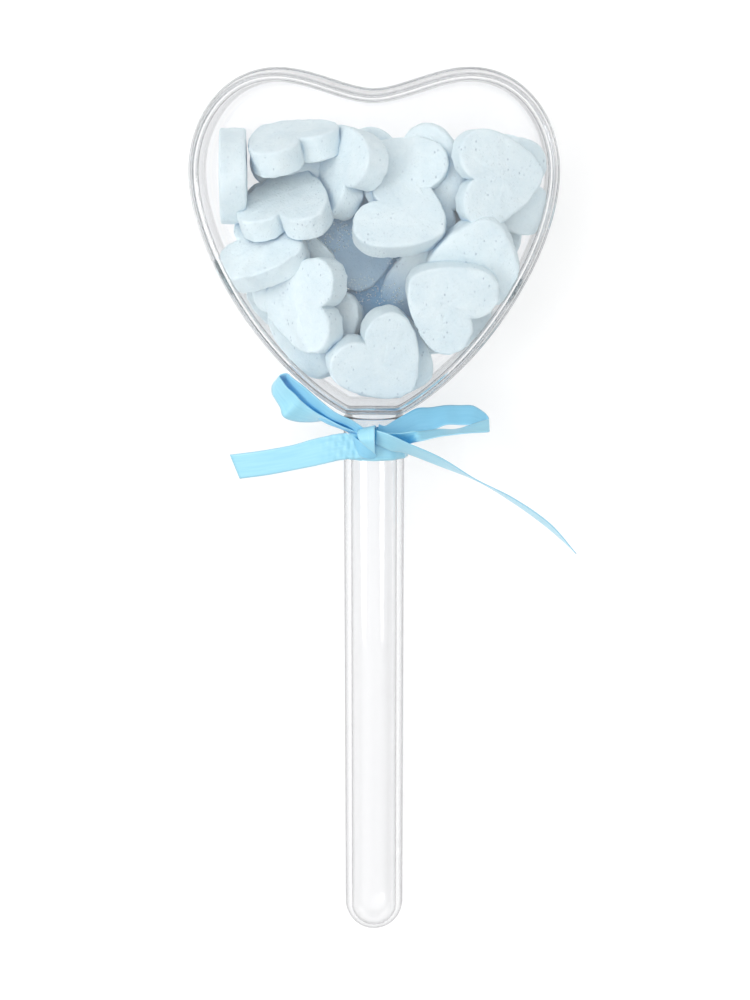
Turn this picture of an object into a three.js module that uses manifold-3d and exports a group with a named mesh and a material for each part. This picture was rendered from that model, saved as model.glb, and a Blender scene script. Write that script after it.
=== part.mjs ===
// A heart-shaped clear box of heart candies on a clear round handle, with a ribbon bow under the box.
// Millimetres. The wand lies on the flat back of the box: +Z points out of its front face, +Y towards the
// dip of the heart and -Y along the handle. The origin is on the back face, at the heart's widest line.
import * as THREE from 'three';
import { mergeVertices } from 'three/addons/utils/BufferGeometryUtils.js';
import Module from 'manifold-3d';

const wasm = await Module();
wasm.setup();

// Heart box
const boxDepth = 30;
const heartHalfWidth = 48;
const lobeAt = [24.5, 26.6];
const lobeInnerReach = 8.9;
const lobeOuterReach = 15;
const dipHeight = 21.3;
const dipReach = 6.8;
const sideReachUp = 13;
const sideReachDown = 20.3;
const neckHalfWidth = 7.4;
const neckHeight = -63.1;
const flankReach = [22.4, 13.1];
const lipThickness = 1;
const wallThickness = 1.4;
const wallSetBack = 0.9;
const wallDraft = 0.8;
const shoulderHeight = 2.5;
const tongueLength = 1.2;
const fitGap = 0.3;

// Handle tube
const tubeTopRadius = 8.05;
const tubeEndRadius = 7.85;
const tubeBore = 6.1;
const tubeEnd = -206.6;
const tubeFloor = 1.2;
const neckPadDepth = 1.7;

// Ribbon
const ribbonWidth = 7;
const ribbonThickness = 0.5;
const bandTop = -68.7;
const bandBottom = -74.2;
const knotAt = [-0.6, -69, 24.6];
const knotRadii = [3, 4, 2.6];

// Candies
const candyHalfWidth = 12.5;
const candyThickness = 7;
const candyRounding = 0.9;
const coreInset = 13;
const coreHeights = [8, 19];
const fillHeight = 2;

const middle = boxDepth / 2;

const clearPlastic = new THREE.MeshStandardMaterial({
  color: 0xf4f6f8,
  roughness: 0.08,
  metalness: 0,
  transparent: true,
  opacity: 0.35,
});
const satin = new THREE.MeshStandardMaterial({ color: 0x89cce9, roughness: 0.45, metalness: 0 });
const pressedSugar = new THREE.MeshStandardMaterial({ color: 0xd3e4ee, roughness: 0.8, metalness: 0 });

const group = new THREE.Group();

function addNode(name, geometry, material) {
  const mesh = new THREE.Mesh(geometry, material);
  mesh.name = name;
  group.add(mesh);
}

// Gives a mesh of positions only, with its shared corners merged.
function welded(geometry) {
  geometry.deleteAttribute('normal');
  geometry.deleteAttribute('uv');
  return mergeVertices(geometry, 1e-4);
}

function toSolid(geometry) {
  const whole = welded(geometry);
  return new wasm.Manifold(new wasm.Mesh({
    numProp: 3,
    vertProperties: new Float32Array(whole.attributes.position.array),
    triVerts: new Uint32Array(whole.index.array),
  }));
}

function toGeometry(solid) {
  const mesh = solid.getMesh();
  const geometry = new THREE.BufferGeometry();
  geometry.setAttribute('position', new THREE.BufferAttribute(new Float32Array(mesh.vertProperties), 3));
  geometry.setIndex(new THREE.BufferAttribute(new Uint32Array(mesh.triVerts), 1));
  return geometry;
}

// Triangles over a ring, facing along its own right-handed direction, or against it at a loft's start.
function endFace(ring, offset, atStart) {
  const flat = ring.map((p) => new THREE.Vector2(p.x, p.y));
  const flipped = THREE.ShapeUtils.isClockWise(flat) !== atStart;
  return THREE.ShapeUtils.triangulateShape(flat, []).flatMap(([a, b, c]) => (
    flipped ? [offset + a, offset + c, offset + b] : [offset + a, offset + b, offset + c]
  ));
}

// Joins closed rings of equally many points into a solid with flat ends. Each ring runs anticlockwise
// when seen from the side that the rings advance to.
function loft(rings) {
  const count = rings[0].length;
  const corners = rings.flat();
  const faces = [];
  for (let ring = 0; ring + 1 < rings.length; ring += 1) {
    for (let i = 0; i < count; i += 1) {
      const a = ring * count + i;
      const b = ring * count + ((i + 1) % count);
      faces.push(a, b, b + count, a, b + count, a + count);
    }
  }
  const last = (rings.length - 1) * count;
  faces.push(...endFace(rings[0], 0, true), ...endFace(rings[rings.length - 1], last, false));
  const geometry = new THREE.BufferGeometry().setFromPoints(corners);
  geometry.setIndex(faces);
  return geometry;
}

function bezier(from, fromHandle, toHandle, to, steps) {
  const curve = new THREE.CubicBezierCurve(
    new THREE.Vector2(...from),
    new THREE.Vector2(...fromHandle),
    new THREE.Vector2(...toHandle),
    new THREE.Vector2(...to),
  );
  return curve.getPoints(steps);
}

// Mirrors a right half that runs clockwise from the notch to the bottom, and returns the outline anticlockwise.
function mirrored(rightHalf) {
  const left = rightHalf.filter((p) => p.x > 0.01).map((p) => new THREE.Vector2(-p.x, p.y)).reverse();
  return [...rightHalf, ...left].reverse();
}

function heartOutline() {
  const [lobeX, lobeY] = lobeAt;
  const dip = [0, dipHeight];
  const side = [heartHalfWidth, 0];
  const neck = [neckHalfWidth, neckHeight];
  return mirrored([
    ...bezier(dip, [dipReach, dipHeight], [lobeX - lobeInnerReach, lobeY], lobeAt, 8).slice(0, -1),
    ...bezier(lobeAt, [lobeX + lobeOuterReach, lobeY], [heartHalfWidth, sideReachUp], side, 10).slice(0, -1),
    ...bezier(side, [heartHalfWidth, -sideReachDown],
      [neckHalfWidth + flankReach[0], neckHeight + flankReach[1]], neck, 12),
  ]);
}

// Moves every edge of an anticlockwise outline inwards by the same distance.
function inset(outline, distance) {
  return outline.map((p, i) => {
    const before = outline[(i + outline.length - 1) % outline.length];
    const after = outline[(i + 1) % outline.length];
    const intoIn = new THREE.Vector2(before.y - p.y, p.x - before.x).normalize();
    const intoOut = new THREE.Vector2(p.y - after.y, after.x - p.x).normalize();
    const shift = intoIn.clone().add(intoOut).multiplyScalar(distance / (1 + intoIn.dot(intoOut)));
    return p.clone().add(shift);
  });
}

const outline = heartOutline();

function ringAt(distance, z) {
  return inset(outline, distance).map((p) => new THREE.Vector3(p.x, p.y, z));
}

// One half of the box as steps of inset and height above the back face, from its outer face over the
// shoulder, wall, lip and seam to the inside of its face.
function traySteps(seam) {
  const wallFoot = middle + fitGap / 2 + lipThickness;
  const steps = [];
  for (let i = 0; i <= 3; i += 1) {
    const turn = (i / 3) * (Math.PI / 2);
    steps.push([
      wallSetBack + wallDraft + shoulderHeight * (1 - Math.sin(turn)),
      boxDepth - shoulderHeight * (1 - Math.cos(turn)),
    ]);
  }
  steps.push([wallSetBack, wallFoot], [0, wallFoot], [0, wallFoot - lipThickness], ...seam);
  const innerFoot = wallSetBack + wallThickness;
  const innerTurn = shoulderHeight - wallThickness;
  for (let i = 0; i <= 2; i += 1) {
    const turn = (i / 2) * (Math.PI / 2);
    steps.push([
      innerFoot + wallDraft + innerTurn * (1 - Math.cos(turn)),
      boxDepth - wallThickness - innerTurn * (1 - Math.sin(turn)),
    ]);
  }
  return steps;
}

const seamHeight = middle + fitGap / 2;
const tongueOutside = wallSetBack + 0.65;
const rebate = tongueOutside - fitGap;
const rebateHeight = seamHeight + tongueLength + fitGap;
const innerWall = wallSetBack + wallThickness;
const frontSteps = traySteps([
  [tongueOutside, seamHeight],
  [tongueOutside, seamHeight - tongueLength],
  [innerWall, seamHeight - tongueLength],
]);
const backSteps = traySteps([
  [rebate, seamHeight],
  [rebate, rebateHeight],
  [innerWall, rebateHeight],
]);

// The pad under the neck of the heart that the handle's open end is glued to, one half on each tray.
function neckPad() {
  const pad = new THREE.CylinderGeometry(tubeTopRadius, tubeTopRadius, neckPadDepth, 40, 1, false);
  pad.translate(0, neckHeight + neckPadDepth / 2, middle);
  return toSolid(pad);
}

function slabBetween(low, high) {
  const slab = new THREE.BoxGeometry(4 * heartHalfWidth, 4 * heartHalfWidth, high - low);
  slab.translate(0, 0, (low + high) / 2);
  return toSolid(slab);
}

function trayFront() {
  const rings = frontSteps.map(([distance, z]) => ringAt(distance, z).reverse());
  const pad = neckPad().intersect(slabBetween(seamHeight, boxDepth));
  return toSolid(loft(rings)).add(pad);
}

function trayBack() {
  const rings = backSteps.map(([distance, z]) => ringAt(distance, boxDepth - z));
  const tongueRoom = loft([ringAt(rebate, boxDepth - rebateHeight), ringAt(rebate, boxDepth)]);
  const pad = neckPad().intersect(slabBetween(0, boxDepth - seamHeight)).subtract(toSolid(tongueRoom));
  return toSolid(loft(rings)).add(pad);
}

// The handle is a round tube, open against the neck pad and closed by a round end.
function handleTube() {
  const profile = [];
  const top = neckHeight - fitGap;
  const outerCentre = tubeEnd + tubeEndRadius;
  const innerCentre = tubeEnd + tubeFloor + tubeBore;
  const arcSteps = 6;
  profile.push(new THREE.Vector2(tubeTopRadius, top));
  for (let i = 0; i <= arcSteps; i += 1) {
    const turn = (i / arcSteps) * (Math.PI / 2);
    const radius = i === arcSteps ? 0 : tubeEndRadius * Math.cos(turn);
    profile.push(new THREE.Vector2(radius, outerCentre - tubeEndRadius * Math.sin(turn)));
  }
  for (let i = arcSteps; i >= 0; i -= 1) {
    const turn = (i / arcSteps) * (Math.PI / 2);
    const radius = i === arcSteps ? 0 : tubeBore * Math.cos(turn);
    profile.push(new THREE.Vector2(radius, innerCentre - tubeBore * Math.sin(turn)));
  }
  profile.push(new THREE.Vector2(tubeBore, top), new THREE.Vector2(tubeTopRadius, top));
  const tube = new THREE.LatheGeometry(profile.reverse(), 40);
  tube.translate(0, 0, middle);
  return welded(tube);
}

// Each strip of ribbon is a list of stations chosen by hand, each a pair of points on its two edges.
const leftLoopOver = [
  [[0, -66.5, 25.8], [-0.6, -70, 22.4]],
  [[-4.2, -64.5, 26.6], [-6, -68, 21.4]],
  [[-7.5, -62.9, 27], [-9.8, -66.2, 21]],
  [[-12, -59.5, 27], [-14.4, -63.2, 21]],
  [[-17.8, -54.4, 27], [-20.2, -58, 21]],
  [[-22, -51.3, 27], [-23.8, -54, 21]],
  [[-24.4, -51.5, 27], [-25, -53.8, 20.6]],
];
const leftLoopUnder = [
  [[-24.2, -51.3, 27], [-25, -53.6, 20.6]],
  [[-25.7, -54.6, 27], [-24.2, -55.4, 20.2]],
  [[-25.2, -58.4, 27], [-22, -57, 20]],
  [[-23.2, -61.9, 27], [-19.8, -59.6, 20.6]],
  [[-19.4, -63.2, 27], [-16.8, -62.2, 20.6]],
  [[-13, -63.8, 26.4], [-11.4, -66, 20]],
  [[-7.2, -66.2, 25.6], [-6, -69.2, 20]],
  [[-1.6, -68, 25.4], [-1, -70.6, 21.4]],
];
const rightLoopOver = [
  [[-0.4, -66, 23.4], [-0.4, -69, 27]],
  [[2.6, -65, 23.4], [3.2, -67, 27.6]],
  [[7.6, -62.3, 23.8], [8.8, -66.2, 28.4]],
  [[12.2, -60.4, 24], [13, -65.6, 28.4]],
  [[17.4, -59.6, 24], [18.2, -64.6, 28.4]],
  [[22.6, -59.4, 24], [23.4, -64, 28.4]],
  [[27, -60, 24], [27.8, -64.8, 28]],
  [[29.6, -62, 23.2], [29.4, -66, 27.6]],
  [[29.4, -64, 22], [28.6, -66.6, 27.6]],
];
const rightLoopUnder = [
  [[29.6, -63.4, 22], [28.9, -66.4, 27.6]],
  [[26.4, -65, 21], [26.2, -67, 27.2]],
  [[20.6, -65.6, 20.6], [20.4, -67.4, 26.8]],
  [[13.4, -67, 20.6], [12.4, -69, 26.4]],
  [[6.6, -68, 20.8], [6, -70, 26]],
  [[0, -68.6, 21], [0, -70.8, 26]],
];
const rightTail = [
  [[-1, -67, 26.6], [-1.6, -70.2, 22]],
  [[4.2, -67.2, 27], [3, -71.2, 21.6]],
  [[9.5, -69, 26.4], [7.8, -72.8, 20.8]],
  [[17.3, -73, 24.5], [16.6, -76, 18.4]],
  [[27, -79.4, 21.2], [27.4, -80.8, 14.4]],
  [[37, -85, 18], [37.6, -87.4, 11.4]],
  [[47, -92.6, 14.6], [46.8, -95, 8]],
  [[54.4, -101.4, 10.4], [53.8, -101.6, 5.4]],
];
const leftTail = [
  [[1, -67.2, 24], [1, -72.6, 23.8]],
  [[-3.8, -67.2, 24.8], [-3.2, -73.4, 24.2]],
  [[-8.3, -66.6, 24.8], [-7.2, -73.8, 24.4]],
  [[-14.4, -68, 24.2], [-12.7, -75, 23.8]],
  [[-20.4, -69.8, 23], [-18.8, -76.6, 22.6]],
  [[-29.3, -71.8, 20.8], [-27.4, -78.4, 20.4]],
  [[-38.1, -73.6, 18.4], [-35.6, -80.2, 18]],
];

// A strip as wide as the ribbon about the line midway between its edges.
function ribbonStrip(stations, stepsPerStation) {
  const edges = [0, 1].map((side) => new THREE.CatmullRomCurve3(
    stations.map((pair) => new THREE.Vector3(...pair[side])),
    false,
    'centripetal',
  ));
  const steps = (stations.length - 1) * stepsPerStation;
  const left = [];
  const right = [];
  for (let i = 0; i <= steps; i += 1) {
    const a = edges[0].getPoint(i / steps);
    const b = edges[1].getPoint(i / steps);
    const across = b.clone().sub(a).normalize().multiplyScalar(ribbonWidth / 2);
    const centre = a.clone().add(b).multiplyScalar(0.5);
    left.push(centre.clone().sub(across));
    right.push(centre.clone().add(across));
  }
  const corners = [];
  for (let i = 0; i <= steps; i += 1) {
    const before = Math.max(i - 1, 0);
    const after = Math.min(i + 1, steps);
    const along = left[after].clone().add(right[after]).sub(left[before]).sub(right[before]);
    const face = right[i].clone().sub(left[i]).cross(along).normalize().multiplyScalar(ribbonThickness / 2);
    corners.push(
      left[i].clone().sub(face),
      right[i].clone().sub(face),
      right[i].clone().add(face),
      left[i].clone().add(face),
    );
  }
  const faces = [0, 1, 2, 0, 2, 3];
  for (let i = 0; i < steps; i += 1) {
    for (let side = 0; side < 4; side += 1) {
      const a = 4 * i + side;
      const b = 4 * i + ((side + 1) % 4);
      faces.push(a, a + 4, b + 4, a, b + 4, b);
    }
  }
  const end = 4 * steps;
  faces.push(end, end + 2, end + 1, end, end + 3, end + 2);
  const geometry = new THREE.BufferGeometry().setFromPoints(corners);
  geometry.setIndex(faces);
  return toSolid(geometry);
}

function ribbonBand() {
  const inner = tubeTopRadius + fitGap;
  const outer = inner + ribbonThickness;
  const band = new THREE.LatheGeometry([
    new THREE.Vector2(inner, bandBottom),
    new THREE.Vector2(outer, bandBottom),
    new THREE.Vector2(outer, bandTop),
    new THREE.Vector2(inner, bandTop),
    new THREE.Vector2(inner, bandBottom),
  ], 40);
  band.translate(0, 0, middle);
  return toSolid(band);
}

function ribbonBow() {
  const knot = new THREE.SphereGeometry(1, 14, 10);
  knot.scale(...knotRadii);
  knot.translate(...knotAt);
  let bow = ribbonBand().add(toSolid(knot));
  for (const stations of [leftLoopOver, leftLoopUnder, rightLoopOver, rightLoopUnder, rightTail, leftTail]) {
    bow = bow.add(ribbonStrip(stations, 2));
  }
  const bore = new THREE.CylinderGeometry(tubeTopRadius + fitGap, tubeTopRadius + fitGap, 4 * ribbonWidth, 40);
  bore.translate(0, (bandTop + bandBottom) / 2, middle);
  return bow.subtract(toSolid(bore));
}

// A candy's outline, a plump heart with a blunt tip.
function candyOutline() {
  const half = candyHalfWidth;
  return mirrored([
    ...bezier([0, 7.8], [0.7, 9.8], [3, 11.4], [6, 11.4], 2).slice(0, -1),
    ...bezier([6, 11.4], [9.9, 11.4], [half, 8.6], [half, 4.9], 3).slice(0, -1),
    ...bezier([half, 4.9], [half, -0.6], [4.8, -11.4], [0, -11.4], 4),
  ]);
}

function candySolid() {
  const edge = candyOutline();
  const layer = (distance, z) => inset(edge, distance).map((p) => new THREE.Vector3(p.x, p.y, z));
  const half = candyThickness / 2;
  return loft([
    layer(candyRounding, -half),
    layer(0, candyRounding - half),
    layer(0, half - candyRounding),
    layer(candyRounding, half),
  ]);
}

// Where each candy lies: its centre, then in degrees its turn in its own plane, how far its face tilts,
// and the direction it tilts towards.
const candies = [
  [-36.5, -1, 15, -90, 95, 0],
  [-22.5, 7, 13, 220, 70, 100],
  [-22.5, -4, 5.5, 80, 0, 0],
  [-7, 2, 14.5, 215, 55, 165],
  [3, -1.5, 8, -20, 0, 0],
  [6, -1, 14, -120, 15, 120],
  [15, -1.5, 12, 60, 5, 200],
  [32, -1, 18.5, 95, 20, 5],
  [34, -4.5, 12, -80, 15, 335],
  [8, -11.5, 19, 65, 30, 85],
  [11, -11, 11.5, 65, 5, 150],
  [-22, -8, 15, 175, 55, 105],
  [-27.5, -20, 16, 75, 45, 115],
  [-20, -25, 12, 85, 5, 135],
  [-18, -33.5, 18.5, -95, 35, 175],
  [-15, -42.5, 13, 5, 15, 140],
  [-4.5, -20, 8, 5, 5, 90],
  [13, -29, 10, -75, 20, 245],
  [-8.5, -41.5, 5.5, -20, 0, 0],
  [2, -48, 20.5, 40, 20, -50],
  [18.5, -32, 22, -125, 15, 290],
  [27, -21, 19, 165, 20, 270],
  [5, -48.5, 11.5, 65, 0, 0],
  [31.5, -4, 6.5, 30, 0, 0],
  [-25.5, -17, 6.5, 90, 5, 270],
  [28, -19, 6.5, 115, 5, 60],
  [17, -38, 5.5, -45, 0, 0],
  [11.5, -21, 6.5, 200, 5, 90],
  [-20, -34, 7, 20, 5, 200],
  [-9.5, -8, 6.5, 150, 5, 40],
  [2, -33, 6.5, 70, 0, 0],
  [-13, 0, 7.5, -10, 5, 90],
];

function placedCandy([x, y, z, turn, tilt, lean]) {
  const [turned, tilted, leant] = [turn, tilt, lean].map(THREE.MathUtils.degToRad);
  const axis = new THREE.Vector3(-Math.sin(leant), Math.cos(leant), 0);
  const pose = new THREE.Matrix4().makeTranslation(x, y, z)
    .multiply(new THREE.Matrix4().makeRotationAxis(axis, tilted))
    .multiply(new THREE.Matrix4().makeRotationZ(turned));
  return candySolid().applyMatrix4(pose);
}

// The room inside the box, short of its walls by the gap that the pieces keep.
function roomInside() {
  const wall = innerWall + fitGap;
  const face = wallThickness + fitGap;
  const rise = shoulderHeight - wallThickness;
  const corner = wall + wallDraft + rise;
  return toSolid(loft([
    ringAt(corner, face),
    ringAt(wall + wallDraft, face + rise),
    ringAt(wall, middle),
    ringAt(wall + wallDraft, boxDepth - face - rise),
    ringAt(corner, boxDepth - face),
  ]));
}

function candyHeap() {
  const [low, high] = coreHeights;
  const below = inset(outline, coreInset).map((p) => new THREE.Vector2(p.x, Math.min(p.y, fillHeight)));
  const layer = (z) => below.map((p) => new THREE.Vector3(p.x, p.y, z));
  let heap = toSolid(loft([layer(low), layer(high)]));
  for (const candy of candies) {
    heap = heap.add(toSolid(placedCandy(candy)));
  }
  return heap.intersect(roomInside());
}

addNode('heart_shell_front', toGeometry(trayFront()), clearPlastic);
addNode('heart_shell_back', toGeometry(trayBack()), clearPlastic);
addNode('handle_tube', handleTube(), clearPlastic);
addNode('ribbon_bow', toGeometry(ribbonBow()), satin);
addNode('candy_heap', toGeometry(candyHeap()), pressedSugar);

export default group;
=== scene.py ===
# Heart candy wand: a clear heart box of heart candies on a clear round handle, tied with a satin bow.
# Settings of the pieces are in millimetres and degrees, and addPiece turns them into metres. Those of the
# finishes and the studio are in metres, as Blender takes them, but for the notes beside them.
import math

import bpy
import numpy as np
from mathutils import Matrix, Vector
from mathutils.bvhtree import BVHTree


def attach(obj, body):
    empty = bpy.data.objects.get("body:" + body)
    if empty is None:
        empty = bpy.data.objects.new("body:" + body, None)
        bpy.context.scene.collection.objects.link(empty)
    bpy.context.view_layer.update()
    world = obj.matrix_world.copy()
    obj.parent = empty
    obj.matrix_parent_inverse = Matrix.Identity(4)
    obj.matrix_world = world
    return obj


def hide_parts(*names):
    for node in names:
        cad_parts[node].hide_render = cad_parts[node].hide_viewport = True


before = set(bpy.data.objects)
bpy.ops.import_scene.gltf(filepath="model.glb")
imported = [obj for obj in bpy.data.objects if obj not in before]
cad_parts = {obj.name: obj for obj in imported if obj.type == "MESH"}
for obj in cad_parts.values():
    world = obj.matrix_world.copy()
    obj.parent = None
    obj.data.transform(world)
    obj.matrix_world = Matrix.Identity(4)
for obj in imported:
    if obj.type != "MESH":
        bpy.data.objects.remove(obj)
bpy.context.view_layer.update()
print("frame loaded")

millimetre = 0.001
boxDepth = 30.0
middle = boxDepth / 2


# Camera, floor and light

white = (1.0, 1.0, 1.0, 1.0)
black = (0.0, 0.0, 0.0, 1.0)

view = {
    "stand": (11.5, 5.7, 515.0),  # millimetres, over the upper part of the heart
    "aim": (0.27, -86.15, 15.0),  # millimetres
    "upright": (0, 1, 0),  # the wand stands upright in the picture
    "focalLength": 68.6,
    "sensor": 36.0,
}

studio = {
    "floorSize": 3.0,
    "floorHeight": -0.0004,
    "floorColour": (0.4, 0.4, 0.4, 1.0),
    "floorRoughness": 0.9,
    "floorCentre": (0.0, -0.086),
    "glow": 0.63,  # the floor is lit from below round the wand, as on a light table
    "glowTo": (0.2, 1.1),  # distances between which the glow fades
    "horizon": 0.3,  # light from low down, which draws the grey edges of clear plastic
    "overhead": 0.88,
    "horizonTo": (0.12, 0.55),  # heights of the direction between which the light grows
    "softFrom": (-0.4, 0.36, 0.84),  # a wide soft light from the upper left
    "softTo": (0.6, 1.0),  # cosines of the angle to it between which it grows
    "soft": 0.75,
    "keySize": 0.35,
    "keyPower": 2.0,
    "keyAt": (-0.65, -0.2, 0.75),
    "keyAim": (0, -0.05, 0),
    "bounces": 24,  # light goes through many walls of clear plastic
    "glossyBounces": 16,
}


# The camera looks from its stand to its aim. Its right side is the upright direction crossed with the way
# back from the aim, and its top is that way back crossed with its right side.
def placeCamera():
    camera = bpy.data.objects.new("camera", bpy.data.cameras.new("camera"))
    bpy.context.scene.collection.objects.link(camera)
    camera.data.sensor_width = view["sensor"]
    camera.data.lens = view["focalLength"]
    stand = Vector(view["stand"]) * millimetre
    aim = Vector(view["aim"]) * millimetre
    back = (stand - aim).normalized()
    right = Vector(view["upright"]).cross(back).normalized()
    camera.location = stand
    camera.rotation_euler = Matrix((right, back.cross(right), back)).transposed().to_euler()
    bpy.context.scene.camera = camera


placeCamera()


# Material helpers

# A node's output socket. Sums, differences, products and comparisons of wires add Math nodes, and each has
# its reflected form, so that 1 - mask works.
class Wire:
    def __init__(self, finish, socket):
        self.finish = finish
        self.socket = socket

    def __add__(self, other):
        return self.finish.math("ADD", self, other)

    __radd__ = __add__

    def __sub__(self, other):
        return self.finish.math("SUBTRACT", self, other)

    def __rsub__(self, other):
        return self.finish.math("SUBTRACT", other, self)

    def __mul__(self, other):
        return self.finish.math("MULTIPLY", self, other)

    __rmul__ = __mul__

    def __gt__(self, other):
        return self.finish.math("GREATER_THAN", self, other)

    def __lt__(self, other):
        return self.finish.math("LESS_THAN", self, other)


# The nodes of one material or of the world.
class Finish:
    def __init__(self, owner):
        owner.use_nodes = True
        self.owner = owner
        self.tree = owner.node_tree
        self.tree.nodes.clear()

    # Adds a node: its settings first, then the values or wires of its sockets.
    def node(self, kind, settings=None, sockets=None, out=0):
        made = self.tree.nodes.new(kind)
        for key, value in (settings or {}).items():
            setattr(made, key, value)
        for key, value in (sockets or {}).items():
            if isinstance(value, Wire):
                self.tree.links.new(value.socket, made.inputs[key])
            else:
                made.inputs[key].default_value = value
        return Wire(self, made.outputs[out]) if made.outputs else None

    def math(self, operation, first, second):
        return self.node("ShaderNodeMath", {"operation": operation}, {0: first, 1: second})

    # A product or sum is the first output, and a length, distance or dot product the second.
    def vector(self, operation, first, second=(0.0, 0.0, 0.0), out=0):
        return self.node("ShaderNodeVectorMath", {"operation": operation}, {0: first, 1: second}, out)

    # One part of a vector: 0 is x, 1 is y and 2 is z.
    def part(self, whole, axis):
        return self.node("ShaderNodeSeparateXYZ", {}, {"Vector": whole}, axis)

    # The place in the object's own coordinates, in metres.
    def objectPlace(self):
        return self.node("ShaderNodeTexCoord", out=3)

    # Moves a colour from one to another as the factor goes from 0 to 1.
    def blend(self, factor, first, second):
        return self.node("ShaderNodeMix", {"data_type": "RGBA"}, {0: factor, 6: first, 7: second}, 2)

    # Takes a number from one range to another, held at the ends.
    def span(self, value, low, high, toLow=0.0, toHigh=1.0, how="LINEAR"):
        sockets = {"Value": value, "From Min": low, "From Max": high, "To Min": toLow, "To Max": toHigh}
        return self.node("ShaderNodeMapRange", {"interpolation_type": how}, sockets)

    # Noise about a half, which repeats about as often as its scale in each unit of the place.
    def noise(self, at, scale, detail=2.0, roughness=0.5):
        sockets = {"Vector": at, "Scale": scale, "Detail": detail, "Roughness": roughness}
        return self.node("ShaderNodeTexNoise", {}, sockets)

    # The distance to the nearest of points strewn at random, as a share of their usual spacing.
    def cells(self, at, scale):
        return self.node("ShaderNodeTexVoronoi", {"feature": "F1"}, {"Vector": at, "Scale": scale})

    # How open a place is, from 0 in a crevice to 1, looking one reach around it.
    def openness(self, reach, ownMeshOnly=False):
        settings = {"samples": 8, "only_local": ownMeshOnly}
        return self.node("ShaderNodeAmbientOcclusion", settings, {"Distance": reach}, 1)

    # Tilts the surface's normal by the slope of a height that runs from 0 to 1, of this distance.
    def bump(self, height, strength, distance):
        sockets = {"Height": height, "Strength": strength, "Distance": distance}
        return self.node("ShaderNodeBump", {}, sockets)

    # Ends a material in the general shader, with absorption inside where it is clear.
    def shade(self, sockets, inside=None):
        ends = {"Surface": self.node("ShaderNodeBsdfPrincipled", {}, sockets)}
        if inside:
            ends["Volume"] = self.node("ShaderNodeVolumeAbsorption", {}, inside)
        self.node("ShaderNodeOutputMaterial", {}, ends)
        return self.owner


def newFinish(name):
    return Finish(bpy.data.materials.new(name))


# Turns a screen colour of three bytes into the linear colour that a shader takes: a straight line for the
# darkest, and a power for the rest.
def paint(red, green, blue):
    part = np.array([red, green, blue]) / 255
    linear = np.where(part <= 0.04045, part / 12.92, ((part + 0.055) / 1.055) ** 2.4)
    return (*(float(v) for v in linear), 1.0)


plasticLook = {
    "squareOn": (0.985, 0.986, 0.99, 1.0),
    "edgeShadeSpan": (0.45, 0.9),  # from here to there of the way to edge on, the colour turns
    "inside": (0.5, 0.5, 0.52, 1.0),
    "cloudScale": 60.0,
    "cloudRoughness": 0.03,
    "flowScale": 25.0,
    "flowStrength": 0.02,
    "flowHeight": 0.0004,
    "refraction": 1.55,
}


# A long way through the wall darkens to grey, sooner where it is denser, and faces seen edge on get a painted
# shade in their colour.
def clearPlastic(name, density, paintedEdgeShade):
    look = plasticLook
    finish = newFinish(name)
    place = finish.objectPlace()
    cloud = finish.noise(place, look["cloudScale"])
    flow = finish.noise(place, look["flowScale"], 1.0)
    # Painted shade: the colour darkens towards edge on, standing in for the dark edges of clear plastic.
    grazing = finish.node("ShaderNodeLayerWeight", {}, {"Blend": 0.5}, 1)
    grazing = finish.span(grazing, *look["edgeShadeSpan"], how="SMOOTHSTEP")
    return finish.shade({
        "Base Color": finish.blend(grazing, look["squareOn"], paintedEdgeShade),
        "Roughness": finish.span(cloud, 0.35, 0.7, 0.0, look["cloudRoughness"]),
        "IOR": look["refraction"],
        "Transmission Weight": 1.0,
        "Normal": finish.bump(flow, look["flowStrength"], look["flowHeight"]),
    }, {"Color": look["inside"], "Density": density})


sugarLook = {
    "pale": paint(222, 236, 240),
    "shaded": paint(208, 226, 233),
    "grain": paint(234, 243, 246),
    "grainShare": 0.35,
    "deepPaintedShade": paint(86, 148, 190),
    "creviceShade": paint(104, 162, 198),
    "speck": paint(132, 156, 174),
    "speckShare": 0.62,
    "cloudScale": 160.0,
    "grainScale": 1500.0,
    "speckScale": 700.0,
    "speckLength": (1.0, 0.6, 1.0),  # specks are longer along y
    "speckPatchScale": 130.0,
    "pitScale": 1000.0,
    "creviceShadeReach": 0.007,
    "deepShadeHeights": (0.01, 0.015),
    "deepShadeCentre": (0.0, -0.025, 0.01),
    "deepShadeReach": (0.017, 0.024),
    "reliefStrength": 0.6,
    "reliefHeight": 0.0003,
}
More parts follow.
